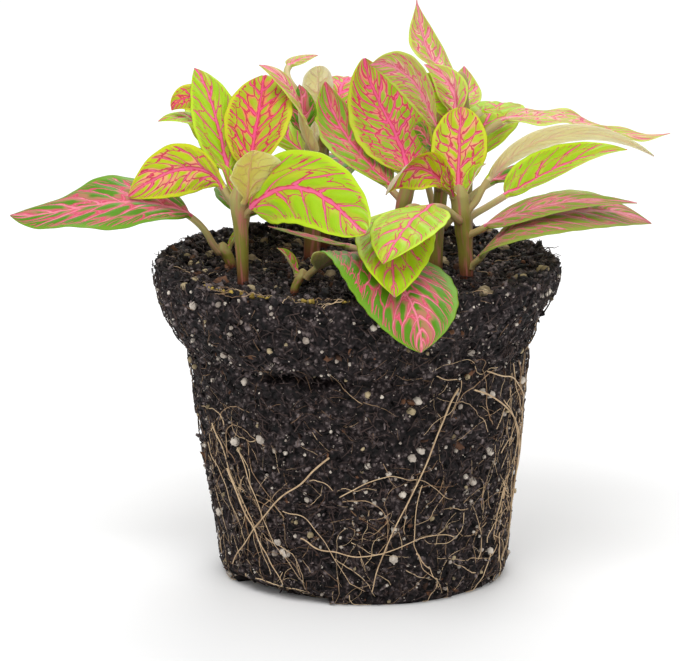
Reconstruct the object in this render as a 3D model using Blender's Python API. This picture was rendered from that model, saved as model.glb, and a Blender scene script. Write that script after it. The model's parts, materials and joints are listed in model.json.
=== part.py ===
"""Nerve plant (Fittonia) lifted out of its nursery pot, standing on its bare root ball.

Units are metres and +Z is up.  The origin is the middle of the flat base of the root ball.
The viewer stands on the -Y side.  Every leaf is a petiole and a blade swept along one bent
centre line.  Every stem, root and the root ball is its own closed solid.
"""
import math

import bmesh
import bpy
from mathutils import Vector

MM = 0.001

# ---- root ball: peat that kept the shape of the nursery pot -------------------------------
BALL_SIDES = 40
BASE_RADIUS = 34.2
NOTCH_RADIUS = 29.0
NOTCH_HEIGHT = 3.6
NOTCH_FROM = math.radians(204)
NOTCH_TO = math.radians(255)
# height and radius in millimetres, from just above the base up to the rim and in over the soil
BALL_PROFILE = (
    (NOTCH_HEIGHT, 35.5),
    (28.0, 38.6),
    (54.0, 41.8),
    (58.0, 41.9),
    (60.5, 44.4),
    (65.0, 46.8),
    (69.0, 48.3),
    (74.0, 49.4),
    (78.4, 50.0),
    (79.4, 48.4),
    (77.0, 44.6),
    (76.2, 41.0),
)
SIDE_RINGS = 9
BALL_LEAN = -2.0 / 80.0
BALL_SHIFT = 1.0
LUMP = 0.35
# the collar has crumbled back on the right, below its rim
COLLAR_WEAR = 2.4
WEAR_HEIGHT = 65.0
WEAR_SPREAD = 5.0
SOIL_TOP = 76.2
GAP = 0.3
ROOT_LIFT = 0.2

# ---- stems: foot x, y; sideways run to the tip x, y; height; radius at foot and tip -------
STEM_SIDES = 8
STEM_RINGS = 7
STEMS = {
    "left_front": ((-28.6, -15.4), (-1, 2), 21, 1.3, 2.0),
    "left_back": ((-29.5, 8), (0, 2), 30, 1.2, 1.6),
    "far_left": ((-32, 3.5), (-2, 0.5), 4, 1.3, 1.5),
    "front": ((-16, -25.5), (2, 1), 4, 1.0, 1.2),
    "centre_back": ((-12, 14), (1, 1), 28, 2.0, 2.4),
    "centre": ((8, -3), (4, 2), 22, 1.5, 1.8),
    "mid_right": ((18.5, -1.5), (0, 1), 13, 1.7, 2.0),
    "right_front": ((26, -8), (-2, 1), 20, 1.6, 2.1),
    "right_back": ((19, 11), (3, 2), 33, 1.5, 1.8),
    "tall_back": ((27, 24), (-2, -1), 43, 1.5, 1.8),
    "back": ((-9, 27), (-1, 0), 36, 1.5, 1.8),
}

# ---- leaves ------------------------------------------------------------------------------
# Angles in degrees.  A heading of 0 points to +X and 90 to +Y, away from the viewer.
# A pitch of 90 points straight up.  A positive roll lifts the left edge of the blade.
PETIOLE_RADIUS = 0.85
BLADE_THICKNESS = 0.5
BLADE_RINGS = 10
BLADE_BASE_POWER = 0.65
BLADE_TIP_POWER = 0.95
CENTRE_STEPS = 60


class Leaf:
    """One leaf: where it leaves its stem, how long and wide it is, and how it bends."""

    def __init__(self, name, stem, at, petiole, length, width, heading, pitch, roll, **shape):
        self.name = name
        self.stem = stem
        self.at = at
        self.petiole = petiole
        self.length = length
        self.width = width
        self.heading = heading
        self.pitch = pitch
        self.roll = roll
        self.cup = shape.get("cup", 0.0)
        self.wave = shape.get("wave", 0.0)
        self.waves = shape.get("waves", 2.0)
        self.base = shape.get("base", BLADE_BASE_POWER)
        self.tip = shape.get("tip", BLADE_TIP_POWER)
        self.colour = shape.get("colour", "lime")


LEAVES = (
    # low leaves that reach out over the rim
    Leaf("far_left_low", "far_left", 0.8, 12, 47, 22, (195, 155), (80, -5, 0), (-20, -25),
         wave=1.0, colour="green"),
    Leaf("front_dark", "front", 0.9, 3, 56, 29, (-20, -95), (60, -25, -10), (-20, 15),
         colour="green"),
    Leaf("right_dark", "right_front", 0.13, 3, 49, 21, (-35, 35), (62, 11, -29), (10, 25),
         colour="green"),
    Leaf("right_pink", "right_front", 0.52, 4, 39, 12, (-25, -5), (37, 13, -7), (30, 2),
         colour="rose"),
    Leaf("rear_right", "right_back", 0.25, 16, 17, 9, (20, 0), (60, 25, 5), (5, 15),
         colour="green"),
    # left crown
    Leaf("left_lime", "left_front", 0.9, 4, 30, 13, (135, 171), (70, -10, -39), (-123, -51),
         base=0.85, tip=0.85),
    Leaf("front_lime", "left_front", 0.8, 2, 50, 19, (-30, -75), (65, -10, 5), (75, 30),
         base=0.3, tip=0.7),
    Leaf("left_round", "left_front", 1.0, 6, 27, 18, (65, 85), (65, 55, 30), (-10, -10),
         tip=0.6, colour="rose"),
    Leaf("left_tall", "left_front", 0.9, 10, 33, 12, (105, 115), (30, 50, 15), (-15, -15)),
    Leaf("left_far_red", "left_back", 0.94, 14, 10, 8, (165, 185), (85, 40, -70), (-45, -45),
         colour="rose"),
    Leaf("left_far_pale", "left_back", 0.74, 13, 13, 9, (145, 195), (80, 35, -25), (0, -10),
         colour="cream"),
    Leaf("left_back_dark", "left_back", 0.45, 8, 12, 12, (160, 190), (60, 50, 10), (-25, -25),
         colour="green"),
    # middle crown
    Leaf("pink_folded", "centre_back", 0.9, 7, 29, 10, (276, 161), (5, 68, 11), (-28, -27),
         colour="rose"),
    Leaf("back_green", "centre_back", 1.0, 3, 12, 7, (150, 120), (80, 90, 60), (-40, -30),
         colour="green"),
    Leaf("behind_dark", "centre_back", 0.5, 3, 13, 7, (240, 185), (10, 5, -5), (-45, -60),
         colour="green"),
    Leaf("edge_on", "centre", 0.15, 10, 20, 9, (185, 180), (20, 15, 15), (5, 5),
         colour="green"),
    Leaf("mid_lime", "centre", 0.8, 4, 36, 17, (135, 115), (45, 30, 70), (10, -5),
         colour="green"),
    Leaf("central_big", "centre", 1.0, 2, 35, 20, (95, 145), (45, 40, 80), (-10, -25),
         tip=0.8, colour="rose"),
    Leaf("front_mid", "mid_right", 0.95, 21, 38, 19, (-115, -85), (45, -15, -25), (5, -10)),
    Leaf("back_thin", "back", 1.0, 16, 10, 5, (165, 10), (45, 20, 5), (10, 10), colour="rose"),
    Leaf("back_tan", "back", 0.95, 2, 10, 9, (-100, -55), (90, 100, 85), (10, 10),
         tip=0.4, colour="cream"),
    # right crown
    Leaf("right_round", "right_front", 1.0, 1, 21, 14, (90, 80), (60, 60, 65), (0, 0),
         tip=0.6),
    Leaf("right_under", "right_front", 1.0, 2, 21, 11, (190, 225), (80, 5, -70), (-50, -140),
         cup=0.6),
    Leaf("front_small", "right_front", 0.7, 18, 33, 18, (245, 250), (40, -5, -25), (0, 0)),
    Leaf("right_cream", "right_front", 0.8, 9, 45, 14, (10, -5), (75, 15, -35), (-40, -25),
         colour="cream"),
    Leaf("right_lime", "right_front", 0.7, 15, 35, 15, (55, 5), (5, 20, 0), (10, 15),
         cup=0.3),
    Leaf("top_light", "right_back", 0.8, 7, 34, 11, (223, 234), (90, 45, 0), (-65, -95),
         colour="rose"),
    Leaf("top_right_light", "right_back", 1.0, 2, 17, 8, (60, 195), (90, 50, 25), (-40, -50),
         colour="rose"),
    Leaf("small_dark", "right_back", 0.55, 12, 11, 6, (245, 240), (70, 60, 5), (-60, -85),
         colour="green"),
    Leaf("top_back", "tall_back", 1.0, 2, 23, 15, (135, 110), (15, 50, 75), (25, 15),
         tip=1.5, colour="rose"),
    Leaf("top_back_green", "tall_back", 0.66, 5, 15, 9, (200, 170), (80, 65, -10), (-50, -55)),
    Leaf("top_back_pink", "tall_back", 0.8, 2, 15, 9, (85, 90), (20, 30, 65), (5, 10),
         colour="rose"),
    Leaf("brown_back", "tall_back", 0.7, 6, 7, 6, (55, 20), (55, 15, -45), (5, 15),
         colour="cream"),
    Leaf("far_right_wavy", "tall_back", 0.6, 10, 44, 17, (15, 5), (60, -15, 15), (10, 0),
         wave=1.0, waves=3.0, colour="rose"),
    # the side away from the viewer
    Leaf("rear_low_left", "left_back", 0.15, 8, 34, 20, (80, 90), (50, 5, -40), (0, 0),
         colour="green"),
    Leaf("rear_low_middle", "back", 0.2, 8, 38, 22, (95, 90), (50, 5, -40), (0, 0),
         colour="green"),
    Leaf("rear_low_right", "right_back", 0.3, 12, 36, 21, (105, 75), (45, 5, -35), (0, 0),
         colour="green"),
    Leaf("rear_left", "back", 0.5, 6, 32, 19, (150, 140), (55, 25, -30), (0, 0)),
    Leaf("rear_middle", "back", 0.7, 4, 30, 18, (70, 80), (60, 25, -30), (0, 0), colour="rose"),
    Leaf("rear_top_right", "tall_back", 0.4, 6, 32, 18, (70, 65), (60, 25, -30), (0, 0)),
    Leaf("rear_crown_left", "left_back", 0.6, 6, 34, 20, (100, 120), (60, 30, -20), (0, 0)),
    Leaf("rear_crown_right", "right_back", 0.66, 5, 32, 19, (125, 115), (60, 30, -20), (0, 0),
         colour="rose"),
    # the newest growth
    Leaf("young_bud", "centre_back", 1.0, 1, 6, 3, (-95, -80), (85, 80, 75), (0, 0), cup=0.6),
)


# ---- colours ------------------------------------------------------------------------------
COLOURS = {
    "lime": (0.46, 0.60, 0.03),
    "green": (0.10, 0.30, 0.02),
    "rose": (0.62, 0.16, 0.14),
    "cream": (0.56, 0.52, 0.30),
    "stem": (0.27, 0.22, 0.06),
    "soil": (0.016, 0.010, 0.007),
    "root": (0.42, 0.28, 0.17),
}


def clear_scene():
    for item in list(bpy.data.objects):
        bpy.data.objects.remove(item, do_unlink=True)


def make_material(name, colour, roughness):
    """A Principled material of one plain colour."""
    material = bpy.data.materials.new(name)
    material.use_nodes = True
    shader = material.node_tree.nodes["Principled BSDF"]
    shader.inputs["Base Color"].default_value = (*COLOURS[colour], 1.0)
    shader.inputs["Roughness"].default_value = roughness
    shader.inputs["Metallic"].default_value = 0.0
    material.diffuse_color = (*COLOURS[colour], 1.0)
    return material


def add_solid(name, mesh, origin, colour, roughness):
    """Finish a bmesh as a named object whose origin is at the given point, in millimetres."""
    bmesh.ops.translate(mesh, verts=mesh.verts, vec=-Vector(origin))
    bmesh.ops.scale(mesh, verts=mesh.verts, vec=(MM, MM, MM))
    bmesh.ops.triangulate(mesh, faces=[face for face in mesh.faces if len(face.verts) > 3])
    bmesh.ops.recalc_face_normals(mesh, faces=mesh.faces)
    data = bpy.data.meshes.new(name)
    mesh.to_mesh(data)
    mesh.free()
    item = bpy.data.objects.new(name, data)
    item.location = Vector(origin) * MM
    item.data.materials.append(make_material(name, colour, roughness))
    bpy.context.collection.objects.link(item)
    return item


def loft(rings, tip=None):
    """Join rings of points into a tube, closed by a flat end and by a flat end or a point."""
    mesh = bmesh.new()
    loops = [[mesh.verts.new(point) for point in ring] for ring in rings]
    count = len(loops[0])
    for lower, upper in zip(loops, loops[1:]):
        for i in range(count):
            j = (i + 1) % count
            mesh.faces.new((lower[i], lower[j], upper[j], upper[i]))
    mesh.faces.new(loops[0])
    if tip is None:
        mesh.faces.new(loops[-1])
        return mesh
    end = mesh.verts.new(tip)
    for i in range(count):
        mesh.faces.new((loops[-1][i], loops[-1][(i + 1) % count], end))
    return mesh


# ---- root ball ----------------------------------------------------------------------------
def ball_centre(z):
    """X of the root ball's axis at height z: the ball leans slightly to the left."""
    return BALL_SHIFT + BALL_LEAN * z


def ball_radius(z, angle):
    """Radius of the ball's side at a height and an angle, with its shallow lumps."""
    heights = [0.0] + [height for height, _ in BALL_PROFILE[:SIDE_RINGS]]
    radii = [BASE_RADIUS] + [radius for _, radius in BALL_PROFILE[:SIDE_RINGS]]
    radius = radii[-1]
    for k in range(len(heights) - 1):
        if heights[k] <= z <= heights[k + 1]:
            share = (z - heights[k]) / (heights[k + 1] - heights[k])
            radius = radii[k] + share * (radii[k + 1] - radii[k])
            break
    lumps = LUMP * math.sin(5 * angle + 0.11 * z) * math.sin(3 * angle - 0.07 * z)
    wear = max(0.0, math.cos(angle)) * math.exp(-((z - WEAR_HEIGHT) / WEAR_SPREAD) ** 2)
    return radius + lumps - COLLAR_WEAR * wear


def ball_point(z, angle, outward=0.0):
    """A point on the ball's side, moved outward by some millimetres."""
    radius = ball_radius(z, angle) + outward
    return Vector((ball_centre(z) + radius * math.cos(angle), radius * math.sin(angle), z))


def build_root_ball():
    """The plug of peat: a tapered body, a wider collar and a soil surface inside the rim."""
    angles = [2 * math.pi * i / BALL_SIDES for i in range(BALL_SIDES)]
    base = []
    for angle in angles:
        radius = NOTCH_RADIUS if NOTCH_FROM < angle < NOTCH_TO else BASE_RADIUS
        base.append(Vector((BALL_SHIFT + radius * math.cos(angle), radius * math.sin(angle), 0.0)))
    rings = [base]
    for z, _ in BALL_PROFILE[:SIDE_RINGS]:
        rings.append([ball_point(z, angle) for angle in angles])
    for z, radius in BALL_PROFILE[SIDE_RINGS:]:
        middle = ball_centre(z)
        rings.append([Vector((middle + radius * math.cos(a), radius * math.sin(a), z)) for a in angles])
    mesh = loft(rings)
    add_solid("root_ball", mesh, (0.0, 0.0, 0.0), "soil", 0.95)


# ---- roots that run over the outside of the ball -------------------------------------------
# (angle round the ball in degrees, height in millimetres) along each root, its radius, and how
# far it is lifted to pass over another root
ROOTS = {
    "root_left_long": (((259, 38), (245, 30), (228, 19), (209, 6)), 0.6, 0.0),
    "root_left_down": (((218, 32), (224, 23), (231, 14), (238, 5)), 0.5, 1.5),
    "root_middle": (((304, 55), (297, 45), (290, 32), (278, 15), (273, 4)), 0.6, 0.0),
    "root_low_cross": (((248, 18), (257, 15), (269, 14), (291, 18), (304, 17)), 0.45, 1.6),
    "root_right": (((311, 54), (330, 46), (346, 33), (348, 14), (337, 6)), 0.55, 0.0),
}
ROOT_STEPS = 10
ROOT_SIDES = 6


def smooth_through(values, share):
    """A smooth value through a short list of values, at a share from 0 to 1 along it."""
    last = len(values) - 1
    k = min(int(share * last), last - 1)
    f = share * last - k
    a = values[max(k - 1, 0)]
    b = values[k]
    c = values[k + 1]
    d = values[min(k + 2, last)]
    slope = c - a
    bend = 2 * a - 5 * b + 4 * c - d
    twist = 3 * b - a - 3 * c + d
    return b + 0.5 * (slope * f + bend * f ** 2 + twist * f ** 3)


def build_root(name):
    """One thick root: a round tube that follows the ball's side at a small gap."""
    places, radius, over = ROOTS[name]
    angles = [math.radians(angle) for angle, _ in places]
    heights = [height for _, height in places]
    line = []
    for i in range(ROOT_STEPS + 1):
        share = i / ROOT_STEPS
        angle = smooth_through(angles, share)
        line.append(ball_point(smooth_through(heights, share), angle, radius + GAP + ROOT_LIFT + over))
    rings = []
    for i, middle in enumerate(line):
        along = (line[min(i + 1, ROOT_STEPS)] - line[max(i - 1, 0)]).normalized()
        outward = Vector((middle.x, middle.y, 0.0)).normalized()
        across = along.cross(outward).normalized()
        outward = across.cross(along)
        size = radius * (1.0 - 0.5 * i / ROOT_STEPS)
        turns = [2 * math.pi * k / ROOT_SIDES for k in range(ROOT_SIDES)]
        rings.append([middle + size * (math.cos(t) * across + math.sin(t) * outward) for t in turns])
    add_solid(name, loft(rings), line[0], "root", 0.7)


# ---- stems ---------------------------------------------------------------------------------
def stem_point(stem, share):
    """A point on a stem's axis, at a share from 0 at the soil to 1 at the tip."""
    foot, lean, height, _, _ = STEMS[stem]
    bend = share ** 1.5
    return Vector((foot[0] + lean[0] * bend, foot[1] + lean[1] * bend,
                   SOIL_TOP + GAP + height * share))


def stem_radius(stem, share):
    _, _, _, foot_radius, tip_radius = STEMS[stem]
    return foot_radius + (tip_radius - foot_radius) * share


def build_stem(stem):
    """A round stem that thickens upward, with a small domed end."""
    rings = []
    for i in range(STEM_RINGS):
        share = i / (STEM_RINGS - 1)
        middle = stem_point(stem, share)
        radius = stem_radius(stem, share)
        ring = []
        for k in range(STEM_SIDES):
            turn = 2 * math.pi * k / STEM_SIDES
            ring.append(middle + radius * Vector((math.cos(turn), math.sin(turn), 0.0)))
        rings.append(ring)
    top = stem_point(stem, 1.0) + Vector((0.0, 0.0, 0.5 * stem_radius(stem, 1.0)))
    add_solid("stem_" + stem, loft(rings, top), stem_point(stem, 0.0), "stem", 0.5)


# ---- leaves --------------------------------------------------------------------------------
def direction(heading, pitch):
    """Unit vector for a heading and a pitch in radians."""
    level = math.cos(pitch)
    return Vector((math.cos(heading) * level, math.sin(heading) * level, math.sin(pitch)))


def through(start, middle, end, share):
    """A quadratic through three values at shares 0, 1/2 and 1."""
    return (start * (1 - share) * (1 - 2 * share) + middle * 4 * share * (1 - share)
            + end * share * (2 * share - 1))


def leaf_angles(leaf, share):
    """Heading, pitch and roll in radians at a share of the whole centre line."""
    heading = leaf.heading[0] + (leaf.heading[1] - leaf.heading[0]) * share
    pitch = through(*leaf.pitch, share)
    roll = leaf.roll[0] + (leaf.roll[1] - leaf.roll[0]) * share
    return math.radians(heading), math.radians(pitch), math.radians(roll)


def leaf_base(leaf):
    """Where the petiole starts: beside the stem, a small gap away from it."""
    heading = math.radians(leaf.heading[0])
    steepness = max(0.3, math.sin(math.radians(leaf.pitch[0])))
    reach = stem_radius(leaf.stem, leaf.at) + GAP + 0.05 + PETIOLE_RADIUS * steepness
    return stem_point(leaf.stem, leaf.at) + reach * direction(heading, 0.0)


def leaf_line(leaf):
    """Points along the centre line, from the base of the petiole to the tip of the blade."""
    step = (leaf.petiole + leaf.length) / CENTRE_STEPS
    line = [leaf_base(leaf)]
    for i in range(CENTRE_STEPS):
        heading, pitch, _ = leaf_angles(leaf, (i + 0.5) / CENTRE_STEPS)
        line.append(line[-1] + step * direction(heading, pitch))
    return line


def line_point(line, share):
    place = min(share * CENTRE_STEPS, CENTRE_STEPS - 1e-6)
    k = int(place)
    return line[k].lerp(line[k + 1], place - k)


def blade_outline(leaf, t):
    """Share of the full width at a share t of the blade's length."""
    widest = leaf.base / (leaf.base + leaf.tip)
    peak = widest ** leaf.base * (1 - widest) ** leaf.tip
    return t ** leaf.base * (1 - t) ** leaf.tip / peak


def leaf_ring(leaf, line, share, t):
    """Eight points round the petiole or the blade: one at each edge, three above, three below."""
    heading, pitch, roll = leaf_angles(leaf, share)
    middle = line_point(line, share)
    level = Vector((-math.sin(heading), math.cos(heading), 0.0))
    upper = direction(heading, pitch).cross(level)
    side = level * math.cos(roll) + upper * math.sin(roll)
    normal = upper * math.cos(roll) - level * math.sin(roll)
    outline = blade_outline(leaf, t) if t > 0 else 0.0
    half_width = max(0.5 * leaf.width * outline, PETIOLE_RADIUS * (1 - 0.8 * max(t, 0.0)))
    flat = min(max(t / 0.12, 0.0), 1.0)
    half_thick = PETIOLE_RADIUS * (1 - flat) + 0.5 * BLADE_THICKNESS * flat
    ring = []
    for s, face in ((1, 0), (0.55, 1), (0, 1), (-0.55, 1), (-1, 0), (-0.55, -1), (0, -1), (0.55, -1)):
        lift = leaf.cup * half_width * flat * (0.45 * abs(s) + 0.55 * s * s)
        phase = 0.25 if s < 0 else 0.0
        lift += leaf.wave * s * s * math.sin(2 * math.pi * (leaf.waves * max(t, 0.0) + phase)) * outline
        reach = s * half_width * (1 - 0.25 * leaf.cup * flat)
        thickness = face * half_thick * (1 - 0.3 * abs(s))
        ring.append(middle + side * reach + normal * (lift + thickness))
    return ring


def build_leaf(leaf):
    """A leaf: rings along the petiole, rings along the blade and a pointed tip."""
    line = leaf_line(leaf)
    petiole_share = leaf.petiole / (leaf.petiole + leaf.length)
    petiole_rings = 3 if leaf.petiole > 6 else 2
    rings = []
    for i in range(petiole_rings):
        rings.append(leaf_ring(leaf, line, petiole_share * i / petiole_rings, 0.0))
    for i in range(BLADE_RINGS):
        t = 0.97 * (i / (BLADE_RINGS - 1)) ** 1.1
        rings.append(leaf_ring(leaf, line, petiole_share + (1 - petiole_share) * t, t))
    add_solid("leaf_" + leaf.name, loft(rings, line[-1]), line[0], leaf.colour, 0.45)


def main():
    clear_scene()
    build_root_ball()
    for name in ROOTS:
        build_root(name)
    for stem in STEMS:
        build_stem(stem)
    for leaf in LEAVES:
        build_leaf(leaf)


main()
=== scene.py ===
"""The looks of a nerve plant that stands on its bare root ball.

Lengths in the tables are millimetres and angles are degrees; meshes are made in metres.
The frame's CAD solids stay where they are, and each piece made here stands for one of them.
"""

import json
import math
from functools import partial

import bmesh
import bpy
import numpy as np
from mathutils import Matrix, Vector, noise


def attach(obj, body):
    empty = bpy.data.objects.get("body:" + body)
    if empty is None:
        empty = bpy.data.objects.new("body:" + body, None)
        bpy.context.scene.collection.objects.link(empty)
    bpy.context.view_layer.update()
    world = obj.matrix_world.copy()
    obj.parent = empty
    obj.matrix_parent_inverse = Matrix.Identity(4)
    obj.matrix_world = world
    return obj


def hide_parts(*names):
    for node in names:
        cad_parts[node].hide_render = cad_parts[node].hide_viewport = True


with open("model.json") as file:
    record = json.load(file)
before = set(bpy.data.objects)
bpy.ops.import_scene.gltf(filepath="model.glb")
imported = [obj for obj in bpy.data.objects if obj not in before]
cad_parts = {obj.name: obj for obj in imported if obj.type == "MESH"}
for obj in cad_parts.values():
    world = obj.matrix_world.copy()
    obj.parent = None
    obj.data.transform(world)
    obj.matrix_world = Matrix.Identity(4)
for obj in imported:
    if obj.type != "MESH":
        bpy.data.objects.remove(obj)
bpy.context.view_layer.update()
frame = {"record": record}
MM = 0.001
NOISE_SEED = 7
noise.seed_set(NOISE_SEED)
QUARTER_TURN = math.pi / 2
FULL_TURN = 2 * math.pi

# ---- root ball ----
BALL_SHIFT = 1.0
BALL_LEAN = -2.0 / 80.0
SOIL_TOP = 76.2
RIM_HEIGHT = 78.4
RIM_RADIUS = 49.8
# the plug's side, from its base to its rim: heights and radii
SIDE_HEIGHTS = (0.0, 3.6, 28.0, 54.0, 58.0, 60.5, 65.0, 69.0, 74.0, RIM_HEIGHT)
SIDE_RADII = (34.2, 35.5, 38.6, 41.8, 41.9, 44.4, 46.8, 48.3, 49.4, RIM_RADIUS)
# the soil inside the rim, from its middle to the rim: radii and heights
SOIL_RADII = (0.0, 34.0, 42.0, 46.0, 48.6, RIM_RADIUS)
SOIL_HEIGHTS = (75.8, 76.0, 76.6, 78.4, 79.3, 78.4)
NOTCH_FROM = 204.0
NOTCH_TO = 255.0
NOTCH_HEIGHT = 3.6
NOTCH_DEPTH = 5.0
COLLAR_WEAR = 2.4
WEAR_HEIGHT = 65.0
WEAR_SPREAD = 5.0
LUMP = 0.35
# the dark crack where the collar has lifted off the body: height, angle, spread, depth
CRACK_HEIGHT = 57.6
CRACK_MIDDLE = 252
CRACK_SPREAD = 16
CRACK_DEPTH = 5.0
# clods, crumbs and grit: how many to a millimetre, and how far they stand out in millimetres
CLODS = (0.15, 0.9)
CRUMBS = (0.5, 1.3)
GRIT = (1.25, 0.6)
CRUMB_GAP = 0.8
BALL_TURNS = 440
SIDE_ROWS = 150
SOIL_ROWS = 64

# ---- stems: foot x, y; sideways run to the tip x, y; height; radius at foot and tip ----
GAP = 0.3
STEM_SIDES = 28
STEM_ROWS = 48
CAP_ROWS = 7
CAP_RISE = 1.2
FOOT_DEPTH = 1.2
STEMS = {
    "left_front": ((-28.6, -15.4), (-1, 2), 21, 1.3, 2.0),
    "left_back": ((-29.5, 8), (0, 2), 30, 1.2, 1.6),
    "far_left": ((-32, 3.5), (-2, 0.5), 4, 1.3, 1.5),
    "front": ((-16, -25.5), (2, 1), 4, 1.0, 1.2),
    "centre_back": ((-12, 14), (1, 1), 28, 2.0, 2.4),
    "centre": ((8, -3), (4, 2), 22, 1.5, 1.8),
    "mid_right": ((18.5, -1.5), (0, 1), 13, 1.7, 2.0),
    "right_front": ((26, -8), (-2, 1), 20, 1.6, 2.1),
    "right_back": ((19, 11), (3, 2), 33, 1.5, 1.8),
    "tall_back": ((27, 24), (-2, -1), 43, 1.5, 1.8),
    "back": ((-9, 27), (-1, 0), 36, 1.5, 1.8),
}

# ---- leaves ----
PETIOLE_RADIUS = 0.85
BLADE_THICKNESS = 0.3
CENTRE_STEPS = 240
PETIOLE_ROWS = 14
ROOTING_LENGTH = 1.6
BLADE_ROWS = 84
BLADE_COLUMNS = 36
VEIN_SPACING = 5.6
# where the blade's last row lies, by where the petiole has turned flat, and how it widens at the stem
BLADE_END = 0.995
FLAT_FROM = 0.12
STEM_FLARE = 0.45
# small irregularities: ripple of the edge, slow bends (in full from some width on), straying veins
EDGE_RIPPLE = 0.012
SWAY = 0.35
FULL_SWAY_WIDTH = 18
VEIN_STRAY = 0.12
# how far side veins lean to the tip, and how far those of the two halves are apart
VEIN_ARCH = 0.38
VEIN_STAGGER = 0.35
# relief as a share of the space between side veins: puffed lamina, groove along the midrib
PUFF = 0.085
GROOVE_DEPTH = 0.10
GROOVE_WIDTH = 0.16


class Leaf:
    """One leaf: where it leaves its stem, how long and wide it is, how it bends, its colours.

    Heading and roll are given at the leaf's start and end, pitch at its start, middle and end.
    """

    fields = ("name", "stem", "at", "petiole", "length", "width", "heading", "pitch", "roll")
    cup = 0.0
    wave = 0.0
    waves = 2.0
    base = 0.65
    tip = 0.95
    face = "lime"
    under = "cream"
    sits_with = ""
    spacing = VEIN_SPACING

    def __init__(self, *row, **shape):
        vars(self).update(zip(self.fields, row), **shape)


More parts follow.
